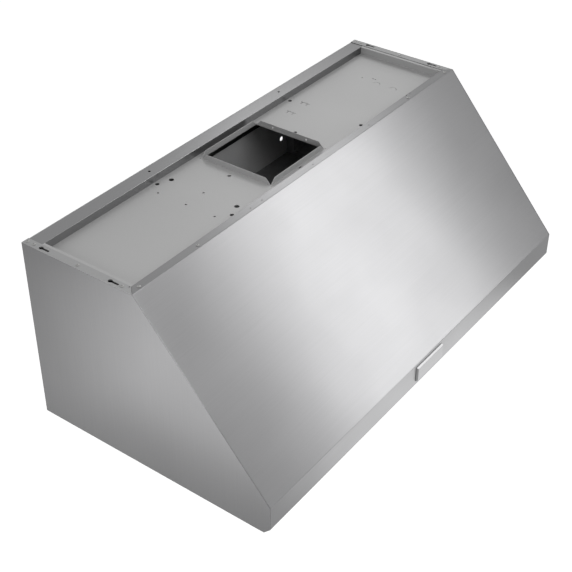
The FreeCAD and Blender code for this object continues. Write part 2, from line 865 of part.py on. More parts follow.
def quarter(name, radius, low, high, centre, turn):
    """Quarter of an upright cylinder, turned to its place in the scroll."""
    sector = rod(name, radius, "(%s) - (%s)" % (high, low), *centre, low)
    sector.Angle = 90
    sector.Placement.Rotation = FreeCAD.Rotation(FreeCAD.Vector(0, 0, 1), turn)
    return sector


def scroll(name, wall, low, high, mouth):
    """Scroll of three growing quarters and its outlet, drawn in by a wall."""
    inner = " - (%s)" % wall
    first = quarter(name + "_first", "scroll_radius" + inner, low, high, ("blower_x", "blower_y"), 180)
    second = quarter(name + "_second", "scroll_mid_radius" + inner, low, high,
                     ("blower_x", "blower_y + scroll_step"), 270)
    third = quarter(name + "_third", "scroll_end_radius" + inner, low, high,
                    ("blower_x - scroll_step", "blower_y + scroll_step"), 0)
    throat = block(name + "_throat", ("blower_x - scroll_radius + " + wall, "blower_x"),
                   ("blower_y", "blower_y + cutoff_height + 2 * (%s)" % wall), (low, high))
    outlet_y = ("blower_y + cutoff_height + " + wall, "blower_y + scroll_rear - (%s)" % wall)
    outlet = block(name + "_outlet", ("plenum_half - (%s)" % mouth, "blower_x - scroll_step"), outlet_y,
                   (low, high))
    return joined(name, first, second, third, throat, outlet)


def blower_scroll():
    """Bent wall of the blower, between its two plates."""
    outside = scroll("scroll_outside", "0", "scroll_low", "scroll_high", "0")
    inside = scroll("scroll_inside", "sheet", "blower_bottom", "blower_top", "corner_gap")
    return cut("right_blower_scroll", outside, inside)


def blower_plates():
    """Lower plate with the inlet hole and upper plate with the bearing hole."""
    lower = scroll("lower_outline", "0", "blower_bottom", "scroll_low", "0")
    inlet = rod("inlet_hole", "bell_radius + fit_gap", "2 * sheet", "blower_x", "blower_y",
                "blower_bottom - sheet / 2")
    upper = scroll("upper_outline", "0", "scroll_high", "blower_top", "0")
    bearing = rod("bearing_hole", "bearing_radius + fit_gap", "2 * sheet", "blower_x", "blower_y",
                  "scroll_high - sheet / 2")
    return group("right_blower_plates", cut("lower_plate", lower, inlet), cut("upper_plate", upper, bearing))


def inlet_ring():
    """Bell-mouthed inlet under the housing."""
    body = new_body("right_inlet_ring")
    section = new_sketch(body, "XZ_Plane")
    polygon(section, [
        ("bell_radius", "-sheet"),
        ("bell_radius + inlet_flange", "-sheet"),
        ("bell_radius + inlet_flange", "0"),
        ("bell_radius", "0"),
        ("inlet_radius + sheet", "inlet_flare"),
        ("inlet_radius + sheet", "inlet_throat"),
        ("inlet_radius", "inlet_throat"),
        ("inlet_radius", "inlet_flare"),
    ])
    revolve(body, section)
    return place(body, "blower_x", "blower_y", "blower_bottom")


def impeller(hand, side):
    """Forward curved wheel of one hand: hub and plate, blades, and a ring at the inlet end."""
    body = new_body(hand + "_impeller")
    section = new_sketch(body, "XZ_Plane")
    polygon(section, [
        ("shaft_radius + running_clearance / 2", "0"),
        ("wheel_radius", "0"),
        ("wheel_radius", "-wheel_plate"),
        ("hub_radius", "-wheel_plate"),
        ("hub_radius", "-hub_height"),
        ("shaft_radius + running_clearance / 2", "-hub_height"),
    ])
    revolve(body, section)
    outer = "sqrt(wheel_radius * wheel_radius - blade_sweep * blade_sweep) - blade_thick"
    blade = add_plate(body, "XY_Plane", "wheel_plate - wheel_height", "wheel_height - 2 * wheel_plate", [
        ("blade_inner_radius", "0"),
        (outer, side + "(blade_sweep - blade_thick)"),
        (outer, side + "blade_sweep"),
        ("blade_inner_radius", side + "blade_thick"),
    ])
    blades = body.newObject("PartDesign::PolarPattern", hand + "_blades")
    blades.Originals = [blade]
    upright = [item for item in body.Origin.OriginFeatures if item.Role == "Z_Axis"][0]
    blades.Axis = (upright, [""])
    blades.Angle = 360
    blades.Occurrences = BLADE_COUNT
    body.Tip = blades
    inlet_band = new_sketch(body, "XY_Plane", "-wheel_height")
    circle(inlet_band, "0", "0", "wheel_radius")
    circle(inlet_band, "0", "0", "wheel_radius - wheel_ring")
    pad(body, inlet_band, "wheel_plate")
    return place(body, side + "blower_x", "blower_y", "wheel_top")


def motor():
    """Motor can on the housing, with its bearing nose and cap."""
    body = new_body("right_motor")
    bore = "shaft_radius + running_clearance"
    section = new_sketch(body, "XZ_Plane")
    polygon(section, [
        (bore, "-bearing_drop"),
        ("bearing_radius", "-bearing_drop"),
        ("bearing_radius", "0"),
        ("motor_radius", "0"),
        ("motor_radius", "motor_height - motor_chamfer"),
        ("motor_radius - motor_chamfer", "motor_height"),
        ("motor_cap_radius", "motor_height"),
        ("motor_cap_radius", "motor_height + motor_cap_height"),
        ("0", "motor_height + motor_cap_height"),
        ("0", "shaft_rise + fit_gap"),
        (bore, "shaft_rise + fit_gap"),
    ])
    revolve(body, section)
    return place(body, "blower_x", "blower_y", "blower_top")


def blower_hanger():
    """Strap over the motor, from the deck to the housing."""
    body = new_body("right_blower_hanger")
    section = new_sketch(body, "XZ_Plane", "-hanger_width / 2")
    web = "deck_under - blower_top - hanger_sheet"
    bent_sheet(section, [
        ("-hanger_half - hanger_foot", "0"),
        ("-hanger_half", "0"),
        ("-hanger_half", web),
        ("hanger_half", web),
        ("hanger_half", "0"),
        ("hanger_half + hanger_foot", "0"),
    ], "hanger_sheet")
    pad(body, section, "hanger_width")
    return place(body, "blower_x", "blower_y", "blower_top")


def blowers():
    nodes = pair("blower_scroll", blower_scroll())
    nodes.update(pair("blower_plates", blower_plates()))
    nodes.update(pair("inlet_ring", inlet_ring()))
    nodes["right_impeller"] = impeller("right", "")
    nodes["left_impeller"] = impeller("left", "-")
    nodes.update(pair("motor", motor()))
    shaft_low = "wheel_top - hub_height"
    shaft = rod("right_motor_shaft", "shaft_radius", "blower_top + shaft_rise - (%s)" % shaft_low,
                "blower_x", "blower_y", shaft_low)
    nodes.update(pair("motor_shaft", shaft))
    nodes.update(pair("blower_hanger", blower_hanger()))
    capacitor = rod("right_capacitor", "capacitor_radius", "capacitor_height",
                    "blower_x - capacitor_inboard", "blower_y + capacitor_behind", "blower_top")
    nodes.update(pair("capacitor", capacitor))
    return nodes


def plenum_end():
    """End plate of the plenum, with the blower's outlet."""
    body = new_body("right_plenum_end")
    add_plate(body, "YZ_Plane", "plenum_inner_half", "sheet", [
        ("-2 * sheet", "plenum_floor"),
        ("-2 * sheet", "deck_under - rail_rear_leg + deck_drop - corner_gap"),
        ("-2 * sheet - corner_gap", "deck_under"),
        ("-plenum_front", "deck_under"),
        ("-plenum_front", "plenum_floor"),
    ])
    outlet = new_sketch(body, "YZ_Plane", "plenum_half")
    rectangle(outlet, "blower_y + cutoff_height + sheet", "blower_y + scroll_rear - sheet",
              "blower_bottom + sheet", "blower_top - sheet")
    pocket(body, outlet, "sheet")
    return body


def plenum():
    nodes = pair("plenum_end", plenum_end())
    nodes["plenum_pan"] = sheet_along_x("plenum_pan", [
        ("-plenum_front", "deck_under"),
        ("-plenum_front", "plenum_floor"),
        ("-sheet", "plenum_floor"),
    ], "plenum_inner_half")
    low = "plenum_floor + junction_above_floor"
    high = low + " + junction_height"
    front = "-plenum_front - junction_depth"
    half = "junction_width / 2"
    case = block("junction_case", ("-" + half, half), (front, "-plenum_front"), (low, high))
    hollow = block("junction_hollow", ("junction_wall - " + half, half + " - junction_wall"),
                   (front + " - corner_gap", "-plenum_front - junction_wall"),
                   (low + " + junction_wall", high + " - junction_wall"))
    nodes["junction_box"] = cut("junction_box", case, hollow)
    cover_x = ("-%s - junction_wall" % half, half + " + junction_wall")
    cover_z = (low + " - junction_wall", high + " + junction_wall")
    cover_y = (front + " - junction_wall", front)
    nodes["junction_box_cover"] = block("junction_box_cover", cover_x, cover_y, cover_z)
    return nodes


# Control panel, knobs and lamps

LAMP_PLACES = ["-lamp_outer", "-lamp_inner_spacing / 2", "lamp_inner_spacing / 2", "lamp_outer"]
KNOB_PLACES = {"fan": "-knob_spacing / 2", "light": "knob_spacing / 2"}


def control_panel():
    """Trough behind the lip that carries the lamps and the switches."""
    body = sheet_along_x("control_panel", [
        ("-panel_front", "panel_rise + panel_front_leg"),
        ("-panel_front", "panel_rise"),
        ("-panel_back", "panel_rise"),
        ("-panel_back", "panel_rise + panel_rear_leg"),
        ("-panel_back - panel_top_flange", "panel_rise + panel_rear_leg"),
    ], "panel_half")
    holes = [(x, "-panel_middle", "lamp_hole_radius") for x in LAMP_PLACES]
    holes += [(x, "-panel_middle", "spindle_hole_radius") for x in KNOB_PLACES.values()]
    drill(body, "panel_top", "sheet", holes)
    return body


def knob():
    """Round knob with a blind bore for its spindle and a pointer groove."""
    body = new_body("knob")
    bore = "spindle_radius + running_clearance / 2"
    section = new_sketch(body, "XZ_Plane")
    polygon(section, [
        ("0", "0"),
        ("knob_radius - knob_chamfer", "0"),
        ("knob_radius", "knob_chamfer"),
        ("knob_radius", "knob_height"),
        (bore, "knob_height"),
        (bore, "knob_height - spindle_seat"),
        ("0", "knob_height - spindle_seat"),
    ])
    revolve(body, section)
    groove = new_sketch(body, "XY_Plane")
    rectangle(groove, "-pointer_width / 2", "pointer_width / 2", "-knob_radius", "-knob_radius / 2")
    pocket(body, groove, "pointer_depth", upward=True)
    return body


def switch_case():
    """Switch body on the panel, bored for its spindle."""
    half = "switch_width / 2"
    case = block("switch_block", ("-" + half, half), ("-" + half, half), ("0", "switch_height"))
    bore = rod("switch_bore", "spindle_radius + running_clearance", "spindle_rise + fit_gap + corner_gap",
               z="-corner_gap")
    return cut("switch_case", case, bore)


def ring(name, outer, inner, thick):
    return cut(name, rod(name + "_disc", outer, thick), rod(name + "_hole", inner, thick))


def controls():
    nodes = {"control_panel": control_panel()}
    spindle_low = "knob_top - spindle_seat"
    spindle = rod("spindle", "spindle_radius", "panel_top + spindle_rise - (%s)" % spindle_low)
    knob_body = knob()
    case = switch_case()
    bezel = ring("knob_bezel", "knob_bezel_radius", "spindle_hole_radius", "knob_bezel_thick")
    bezels = []
    for name, x in KNOB_PLACES.items():
        nodes[name + "_knob"] = copy_at(name + "_knob", knob_body, x, "-panel_middle", "knob_bottom")
        nodes[name + "_spindle"] = copy_at(name + "_spindle", spindle, x, "-panel_middle", spindle_low)
        nodes[name + "_switch"] = copy_at(name + "_switch", case, x, "-panel_middle", "panel_top")
        bezels.append(copy_at(name + "_bezel", bezel, x, "-panel_middle", "panel_rise - knob_bezel_thick"))
    nodes["knob_bezels"] = group("knob_bezels", *bezels)
    return nodes


def lamps():
    housing = joined("lamp_housing", rod("lamp_can", "lamp_radius", "lamp_height"),
                     rod("lamp_rim_disc", "lamp_radius + lamp_rim", "lamp_rim_thick", z="sheet"))
    lens = rod("lamp_lens", "lens_radius", "lens_thick", z="-lens_thick")
    bezel = ring("lamp_bezel", "bezel_radius", "lens_radius + fit_gap", "bezel_thick")
    place(bezel, z="-bezel_thick")
    nodes = {}
    for name, source in (("lamp_housings", housing), ("lamp_lenses", lens), ("lamp_bezels", bezel)):
        copies = [group(name + "_one", source) for x in LAMP_PLACES]
        for x, lamp_copy in zip(LAMP_PLACES, copies):
            place(lamp_copy, x, "-panel_middle", "panel_rise")
        nodes[name] = group(name, *copies)
    return nodes


# Baffle filters, drawn level with the hinge axis at the origin

def filter_frame():
    """Channel frame with its hinge pins and the keepers of the latch."""
    half = "filter_width / 2"
    case = block("filter_case", ("-" + half, half), ("-filter_depth", "filter_rear_reach"),
                 ("-filter_half_thick", "filter_half_thick"))
    window = block("filter_window", ("filter_border - " + half, half + " - filter_border"),
                   ("filter_border - filter_depth", "filter_rear_reach - filter_border"),
                   ("-filter_thick", "filter_thick"))
    channel = block("filter_channel", ("sheet - " + half, half + " - sheet"),
                    ("sheet - filter_depth", "filter_rear_reach - sheet"),
                    ("-channel_half", "channel_half"))
    ring_frame = cut("filter_ring", case, window, channel)
    pieces = [ring_frame]
    for side in ("", "-"):
        pin = rod("filter_pin", "pin_radius", "pin_reach + ear_gap", side + half)
        pin.Placement.Rotation = FreeCAD.Rotation(FreeCAD.Vector(0, 1, 0), -90 if side else 90)
        pieces.append(pin)
        wall = [side + "keeper_in", side + "(keeper_in + keeper_wall)"]
        lip = [side + "(keeper_in - keeper_lip)", wall[1]]
        front = "keeper_set_back - filter_depth"
        back = front + " + keeper_length"
        lip_top = "-bolt_under - fit_gap"
        pieces.append(block("keeper_wall_block", tuple(sorted(wall, key=value)), (front, back),
                            (lip_top, "-filter_half_thick")))
        pieces.append(block("keeper_lip_block", tuple(sorted(lip, key=value)), (front, back),
                            (lip_top + " - sheet", lip_top)))
    return joined("filter_frame", *pieces)


def filter_vane(name, foot, rise):
    """One channel-shaped vane along the filter."""
    body = new_body(name)
    section = new_sketch(body, "XZ_Plane", "fit_gap + sheet - filter_rear_reach")
    half = "vane_width / 2"
    chain = [("-" + half, rise), ("-" + half, foot), (half, foot), (half, rise)]
    bent_sheet(section, chain if value(rise) > value(foot) else chain[::-1], "vane_sheet")
    pad(body, section, "vane_length")
    return body


def filter_baffles():
    """Lower vanes open upward, upper vanes open downward between them."""
    lower = filter_vane("lower_vane", "-channel_half", "vane_height - channel_half")
    upper = filter_vane("upper_vane", "channel_half", "channel_half - vane_height")
    vanes = []
    for index in range(VANE_COUNT):
        vanes.append(copy_at("vane_at", lower, "vane_pitch * %g" % (index - (VANE_COUNT - 1) / 2)))
    for index in range(VANE_COUNT - 1):
        vanes.append(copy_at("vane_at", upper, "vane_pitch * %g" % (index - (VANE_COUNT - 2) / 2)))
    return group("filter_baffles", *vanes)


def filter_latch():
    """Slide bolt under the front of the frame, with a finger tab."""
    tip = "-filter_depth - bolt_reach"
    tail = tip + " + bolt_length"
    half = "bolt_width / 2"
    bolt = block("bolt", ("-" + half, half), (tip, tail), ("-bolt_under", "-bolt_top"))
    tab = block("bolt_finger", ("-" + half, half), (tail + " - bolt_thick", tail),
                ("-bolt_under - bolt_tab", "-bolt_under"))
    return joined("filter_latch", bolt, tab)


def filters():
    nodes = {}
    masters = {"frame": filter_frame(), "baffles": filter_baffles(), "latch": filter_latch()}
    for index in range(FILTER_COUNT):
        x = "filter_pitch * %g" % (index - (FILTER_COUNT - 1) / 2)
        for name, master in masters.items():
            label = "filter_%d_%s" % (index + 1, name)
            piece = copy_at(label, master, x, "-hinge_back", "hinge_height")
            piece.Placement.Rotation = FreeCAD.Rotation(FreeCAD.Vector(-1, 0, 0), value("filter_tilt"))
            nodes[label] = bind(piece, Placement__Rotation__Angle="filter_tilt")
    return nodes


def filter_supports():
    """Shelf behind the filters, the ears of their hinge pins and the hangers of the trays."""
    nodes = {}
    nodes["filter_rear_rail"] = sheet_along_x("filter_rear_rail", [
        ("-2 * sheet", "shelf_height + shelf_rear_rise"),
        ("-2 * sheet", "shelf_height"),
        ("-shelf_depth", "shelf_height"),
        ("-shelf_depth", "shelf_height - shelf_front_drop"),
    ], "shelf_half")
    half = "ear_thick / 2"
    plate = block("ear_plate", ("-" + half, half), ("-ear_half_width", "ear_half_width"),
                  ("-ear_half_width", "shelf_under - hinge_height"))
    bore = rod("ear_bore", "pin_radius + running_clearance", "ear_thick", x="-" + half)
    bore.Placement.Rotation = FreeCAD.Rotation(FreeCAD.Vector(0, 1, 0), 90)
    ear = cut("ear", plate, bore)
    ears = []
    for index in range(FILTER_COUNT + 1):
        x = "filter_pitch * %g" % (index - FILTER_COUNT / 2)
        ears.append(copy_at("ear_at", ear, x, "-hinge_back", "hinge_height"))
    nodes["hinge_ears"] = group("hinge_ears", *ears)
    hangers = []
    for x in ("-tray_outer - fit_gap - hanger_plate", "-hanger_plate / 2", "tray_outer + fit_gap"):
        hangers.append(block("tray_hanger", (x, x + " + hanger_plate"), ("-hanger_front", "-tray_rear"),
                             ("tray_bottom", "shelf_under")))
    nodes["tray_hangers"] = group("tray_hangers", *hangers)
    return nodes


def grease_trays():
    rim = "tray_bottom + tray_height"
    solid = block("tray_block", ("tray_inner", "tray_outer"), ("-tray_front", "-tray_rear"),
                  ("tray_bottom", rim))
    hollow = block("tray_hollow", ("tray_inner + sheet", "tray_outer - sheet"),
                   ("sheet - tray_front", "-tray_rear - sheet"),
                   ("tray_bottom + sheet", rim + " + corner_gap"))
    return pair("grease_tray", cut("right_grease_tray", solid, hollow))


def check_document():
    """Stop on a failed feature, a broken shape or a cut that removed nothing."""
    for item in doc.Objects:
        if "Invalid" in item.State or "Error" in item.State:
            raise RuntimeError("%s failed: %s" % (item.Name, item.State))
        if item.TypeId == "PartDesign::Pocket" and item.Shape.Volume >= item.BaseFeature.Shape.Volume:
            raise RuntimeError("%s cuts nothing" % item.Name)


def write_parts(nodes):
    """Write each piece to its own file."""
    os.makedirs("parts", exist_ok=True)
    for name, piece in nodes.items():
        piece.Label = name
        if piece.Shape.isNull() or not piece.Shape.isValid() or not piece.Shape.Solids:
            raise RuntimeError("%s has no sound shape" % name)
        piece.Shape.exportStep("parts/%s.step" % name)


def main():
    nodes = {}
    for section in (shell, blowers, plenum, controls, lamps, filters, filter_supports, grease_trays):
        nodes.update(section())
    doc.recompute()
    check_document()
    write_parts(nodes)
    print(len(nodes), "pieces")


main()
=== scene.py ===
"""Looks of the wall mount range hood.

Metres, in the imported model's frame: +X runs along the width, the wall is y = 0 with the front towards -Y,
and +Z is up. Sheets and solids with soft edges are welded copies of the CAD shapes, rounded at their edges.
Screws, grip ribs and lens rings are grown by node trees.
"""

import json
import math

import bmesh
import bpy
from mathutils import Matrix, Quaternion, Vector

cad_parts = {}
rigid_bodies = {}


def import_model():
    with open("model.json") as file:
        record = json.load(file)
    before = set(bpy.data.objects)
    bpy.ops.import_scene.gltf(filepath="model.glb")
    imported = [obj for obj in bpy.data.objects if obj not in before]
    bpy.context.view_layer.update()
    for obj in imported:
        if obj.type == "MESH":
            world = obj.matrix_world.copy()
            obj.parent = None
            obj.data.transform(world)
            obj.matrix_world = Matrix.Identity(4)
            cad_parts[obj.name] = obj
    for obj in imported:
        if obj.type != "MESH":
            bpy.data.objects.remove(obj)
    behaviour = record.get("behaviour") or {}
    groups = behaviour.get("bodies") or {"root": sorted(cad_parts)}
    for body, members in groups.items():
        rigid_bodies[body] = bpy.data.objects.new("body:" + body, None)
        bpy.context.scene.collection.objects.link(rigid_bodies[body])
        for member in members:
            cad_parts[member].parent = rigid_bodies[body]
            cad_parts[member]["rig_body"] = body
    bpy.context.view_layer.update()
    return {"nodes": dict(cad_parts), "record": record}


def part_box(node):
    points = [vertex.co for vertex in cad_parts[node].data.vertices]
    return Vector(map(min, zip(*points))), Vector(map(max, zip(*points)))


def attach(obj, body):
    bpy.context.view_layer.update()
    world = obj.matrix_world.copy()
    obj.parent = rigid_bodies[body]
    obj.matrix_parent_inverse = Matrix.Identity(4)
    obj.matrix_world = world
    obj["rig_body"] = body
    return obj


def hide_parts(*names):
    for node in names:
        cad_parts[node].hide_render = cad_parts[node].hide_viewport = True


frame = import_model()

MM = 0.001
X, Y, Z = 0, 1, 2
WHITE = (1, 1, 1, 1)

SLOT_OF = {row["node"]: row["material_slot"] for row in frame["record"]["subparts"]}
FILTERS = ["filter_%d" % number for number in (1, 2, 3, 4)]
HANDS = ["left", "right"]
CONTROLS = ["fan", "light"]


def middle(box):
    """The centre of a box that is given by its two corners."""
    low, high = box
    return (low + high) / 2


# Helpers for all node trees

def feed(tree, node, inputs):
    """Set a node's inputs, or link them from sockets or from the first output of nodes."""
    for name, given in inputs.items():
        sources = given if isinstance(given, list) else [given]
        for source in sources:
            if isinstance(source, bpy.types.Node):
                source = source.outputs[0]
            if isinstance(source, bpy.types.NodeSocket):
                tree.links.new(source, node.inputs[name])
            else:
                node.inputs[name].default_value = source


def add(tree, kind, inputs, **settings):
    """A new node with its settings and inputs."""
    node = tree.nodes.new(kind)
    for name, setting in settings.items():
        setattr(node, name, setting)
    feed(tree, node, inputs)
    return node


def worked_out(tree, kind, first, second):
    """Arithmetic on two values."""
    return add(tree, "ShaderNodeMath", {0: first, 1: second}, operation=kind)


# Patterns of the materials

# How fine each pattern is, in repeats a metre
STREAKS_ALONG = 4
STREAKS_ACROSS = 700
CLOUDS = 5
MILL_GRAIN = 400
SPANGLE = 90
DUST = 30
METAL_GRAIN = 260
MOULD_GRAIN = 500
FROST = 600
TURNED_RINGS = 900

# Where a pattern is at its darkest and at its lightest
PATTERN_LOW = 0.25
PATTERN_HIGH = 0.75


def new_material(name):
    """A material with one shader; gives its tree and that shader too."""
    material = bpy.data.materials.new(name)
    material.use_nodes = True
    tree = material.node_tree
    tree.nodes.clear()
    shader = add(tree, "ShaderNodeBsdfPrincipled", {})
    add(tree, "ShaderNodeOutputMaterial", {"Surface": shader})
    return material, tree, shader


def on_piece(tree, scale, centre=(0, 0, 0)):
    """Object coordinates measured from a centre and stretched."""
    spot = add(tree, "ShaderNodeTexCoord", {}).outputs["Object"]
    shift = [-place * size for place, size in zip(centre, scale)]
    return add(tree, "ShaderNodeMapping", {"Vector": spot, "Location": tuple(shift), "Scale": tuple(scale)})


def noise(tree, scale, detail):
    """Soft random shading."""
    texture = add(tree, "ShaderNodeTexNoise", {"Vector": on_piece(tree, scale), "Scale": 1, "Detail": detail})
    return texture.outputs["Fac"]


def crystals(tree, scale):
    """Flat patches, each with its own shade."""
    texture = add(tree, "ShaderNodeTexVoronoi", {"Vector": on_piece(tree, scale), "Scale": 1})
    split = add(tree, "ShaderNodeSeparateColor", {"Color": texture.outputs["Color"]})
    return split.outputs["Red"]


def turning_marks(tree, centre):
    """Fine rings round an upright axis."""
    spot = on_piece(tree, [TURNED_RINGS] * 3, centre)
    texture = add(tree, "ShaderNodeTexWave", {"Vector": spot, "Scale": 1, "Distortion": 0.6, "Detail": 2},
                  wave_type="RINGS", rings_direction="Z")
    return texture.outputs["Fac"]


def spread(tree, pattern, low, high):
    """A pattern as values from low to high."""
    return add(tree, "ShaderNodeMapRange",
               {"Value": pattern, "From Min": PATTERN_LOW, "From Max": PATTERN_HIGH, "To Min": low,
                "To Max": high})


def shades(tree, pattern, dark, light):
    """A pattern as colours between two shades."""
    ramp = add(tree, "ShaderNodeValToRGB", {"Fac": pattern})
    first, last = ramp.color_ramp.elements
    first.position = PATTERN_LOW
    first.color = (*dark, 1)
    last.position = PATTERN_HIGH
    last.color = (*light, 1)
    return ramp


def coat(tree, shader, colour, pattern, contrast, gloss, dulling):
    """Colour darkened by a share where a pattern is dark, and roughness that follows a pattern too."""
    shadow = [part * (1 - contrast) for part in colour]
    feed(tree, shader, {"Base Color": shades(tree, pattern, shadow, colour),
                        "Roughness": spread(tree, dulling, *gloss)})


def relief(tree, shader, height, strength, depth):
    """Bump from a height."""
    bump = add(tree, "ShaderNodeBump", {"Height": height, "Strength": strength, "Distance": depth})
    feed(tree, shader, {"Normal": bump})


# Kinds of material

FINE_RELIEF = 0.05 * MM
COARSE_RELIEF = 0.1 * MM
DULL_METAL = 0.3
BRUSH_PULL = 0.6
QUARTER_TURN = 0.25
# How bright brushed metal stays at a glancing view, where 1 is undimmed
GLANCING = 0.72


def brushed_steel(name, colour, grain, gloss):
    """Sheet steel brushed along one axis: fine streaks, and slow cloudy changes of roughness."""
    material, tree, shader = new_material(name)
    stretch = [STREAKS_ACROSS] * 3
    stretch[grain] = STREAKS_ALONG
    streaks = noise(tree, stretch, detail=6)
    clouds = noise(tree, [CLOUDS] * 3, detail=3)
    coat(tree, shader, colour, streaks, contrast=0.06, gloss=gloss, dulling=clouds)
    relief(tree, shader, streaks, strength=0.06, depth=FINE_RELIEF)
    along = add(tree, "ShaderNodeCombineXYZ", {grain: 1})
    feed(tree, shader, {"Metallic": 1, "Anisotropic": BRUSH_PULL, "Anisotropic Rotation": QUARTER_TURN,
                        "Tangent": along, "Specular Tint": (GLANCING, GLANCING, GLANCING, 1)})
    return material


def mill_sheet(name, colour, gloss):
    """Dull sheet as it leaves the mill: an even fine grain, more matt than mirror."""
    material, tree, shader = new_material(name)
    grain = noise(tree, [MILL_GRAIN] * 3, detail=4)
    clouds = noise(tree, [CLOUDS] * 3, detail=3)
    coat(tree, shader, colour, grain, contrast=0.06, gloss=gloss, dulling=clouds)
    feed(tree, shader, {"Metallic": DULL_METAL})
    relief(tree, shader, grain, strength=0.04, depth=FINE_RELIEF)
    return material


def zinc_sheet(name, colour, gloss):
    """Zinc-coated sheet with its spangle."""
    material, tree, shader = new_material(name)
    spangle = crystals(tree, [SPANGLE] * 3)
    dust = noise(tree, [DUST] * 3, detail=5)
    coat(tree, shader, colour, spangle, contrast=0.12, gloss=gloss, dulling=dust)
    feed(tree, shader, {"Metallic": DULL_METAL})
    relief(tree, shader, dust, strength=0.08, depth=COARSE_RELIEF)
    return material


def turned_metal(name, colour, gloss, centre):
    """Lathe-turned metal with fine rings on its face."""
    material, tree, shader = new_material(name)
    rings = turning_marks(tree, centre)
    coat(tree, shader, colour, rings, contrast=0.18, gloss=gloss, dulling=rings)
    feed(tree, shader, {"Metallic": 1})
    relief(tree, shader, rings, strength=0.1, depth=FINE_RELIEF)
    return material


def plain_metal(name, colour, gloss):
    """Cast, ground or plated metal with a fine even grain."""
    material, tree, shader = new_material(name)
    grain = noise(tree, [METAL_GRAIN] * 3, detail=5)
    coat(tree, shader, colour, grain, contrast=0.15, gloss=gloss, dulling=grain)
    feed(tree, shader, {"Metallic": 1})
    relief(tree, shader, grain, strength=0.05, depth=FINE_RELIEF)
    return material


def moulded(name, colour, gloss):
    """Moulded plastic or enamel with a fine texture."""
    material, tree, shader = new_material(name)
    grain = noise(tree, [MOULD_GRAIN] * 3, detail=3)
    coat(tree, shader, colour, grain, contrast=0.2, gloss=gloss, dulling=grain)
    relief(tree, shader, grain, strength=0.15, depth=COARSE_RELIEF)
    return material


def frosted_lens(name, colour, gloss):
    """Frosted glass of the lamps."""
    material, tree, shader = new_material(name)
    frost = noise(tree, [FROST] * 3, detail=4)
    coat(tree, shader, colour, frost, contrast=0.08, gloss=gloss, dulling=frost)
    feed(tree, shader, {"Transmission Weight": 0.5, "IOR": 1.5})
    return material


# The hood's materials: colour, the axis of the grain where it is brushed, and the range of roughness

front_steel = brushed_steel("front_steel", (0.22, 0.22, 0.223), X, (0.27, 0.33))
# Side panels: the brushed stainless with an upright grain, its colour darker than the front's as painted
# shade
side_steel_painted_shade = brushed_steel("side_steel_painted_shade", (0.17, 0.17, 0.172), Z, (0.28, 0.33))
filter_steel = brushed_steel("filter_steel", (0.42, 0.42, 0.425), Y, (0.24, 0.32))
badge_satin = brushed_steel("badge_satin", (0.235, 0.235, 0.238), X, (0.24, 0.30))
deck_steel = mill_sheet("deck_steel", (0.42, 0.42, 0.42), (0.48, 0.54))
# Top flanges of the side panels: a lighter, duller copy of the side sheet, painted light on their upward
# faces
flange_painted_light = mill_sheet("flange_painted_light", (0.335, 0.336, 0.338), (0.5, 0.58))
# Rear panel: a pale copy of the sheet, lighter than the stainless it is, so light through the duct opening
# shows brighter: painted light
back_sheet_painted_light = mill_sheet("back_sheet_painted_light", (0.64, 0.642, 0.645), (0.5, 0.58))
zinc = zinc_sheet("zinc", (0.34, 0.345, 0.35), (0.5, 0.65))
# Plenum: zinc sheet darkened nearly to black, painted shade for the dark inside of the hood
zinc_painted_shade = zinc_sheet("zinc_painted_shade", (0.17, 0.172, 0.175), (0.6, 0.7))
screw_plating = plain_metal("screw_plating", (0.34, 0.34, 0.335), (0.32, 0.42))
wheel_metal = plain_metal("wheel_metal", (0.40, 0.405, 0.41), (0.35, 0.45))
ground_shaft = plain_metal("ground_shaft", (0.5, 0.5, 0.505), (0.15, 0.22))
ring_polish = plain_metal("ring_polish", (0.6, 0.6, 0.605), (0.08, 0.14))
lamp_casting = plain_metal("lamp_casting", (0.38, 0.38, 0.385), (0.4, 0.5))
motor_enamel = moulded("motor_enamel", (0.03, 0.03, 0.033), (0.4, 0.5))
capacitor_can = moulded("capacitor_can", (0.6, 0.6, 0.57), (0.45, 0.55))
switch_black = moulded("switch_black", (0.03, 0.03, 0.032), (0.45, 0.6))
lens_frost = frosted_lens("lens_frost", (0.9, 0.9, 0.87), (0.3, 0.5))

knob_turned = {}
for name in CONTROLS:
    knob = name + "_knob"
    knob_turned[knob] = turned_metal(knob + "_turned", (0.5, 0.5, 0.505), (0.2, 0.3), middle(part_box(knob)))

FINISH = {
    "stainless": front_steel,
    "deck_sheet": deck_steel,
    "galvanised": zinc,
    "screw_steel": screw_plating,
    "badge": badge_satin,
    "wheel": wheel_metal,
    "motor_black": motor_enamel,
    "shaft_steel": ground_shaft,
    "capacitor": capacitor_can,
    "switch": switch_black,
    "bezel": ring_polish,
    "lamp_body": lamp_casting,
    "lens": lens_frost,
    "filter_steel": filter_steel,
}


def finish_of(node):
    """The material of a node; side panels, rear panel and plenum get darker or lighter copies as painted
    shade and painted light.
    """
    if node in knob_turned:
        return knob_turned[node]
    if node.endswith("_side_panel"):
        return side_steel_painted_shade
    if node == "rear_top_rail":
        return front_steel
    if node == "rear_panel":
        return back_sheet_painted_light
    if "plenum" in node:
        return zinc_painted_shade
    return FINISH[SLOT_OF[node]]


for node, thing in frame["nodes"].items():
    thing.data.materials.clear()
    thing.data.materials.append(finish_of(node))


# Formed copies of the solids

WELD = 0.002 * MM
FLAT = math.radians(0.5)
SHARP = math.radians(20)
SHORT_EDGE = 3 * MM
# Narrower faces are the cut edges of a sheet
CUT_FACE = 1.6 * MM
# Faces that look up by more than this share are top flanges, which get a lighter sheet as painted light
UPWARD = 0.9

BEND = 0.9 * MM
BEND_SEGMENTS = 3
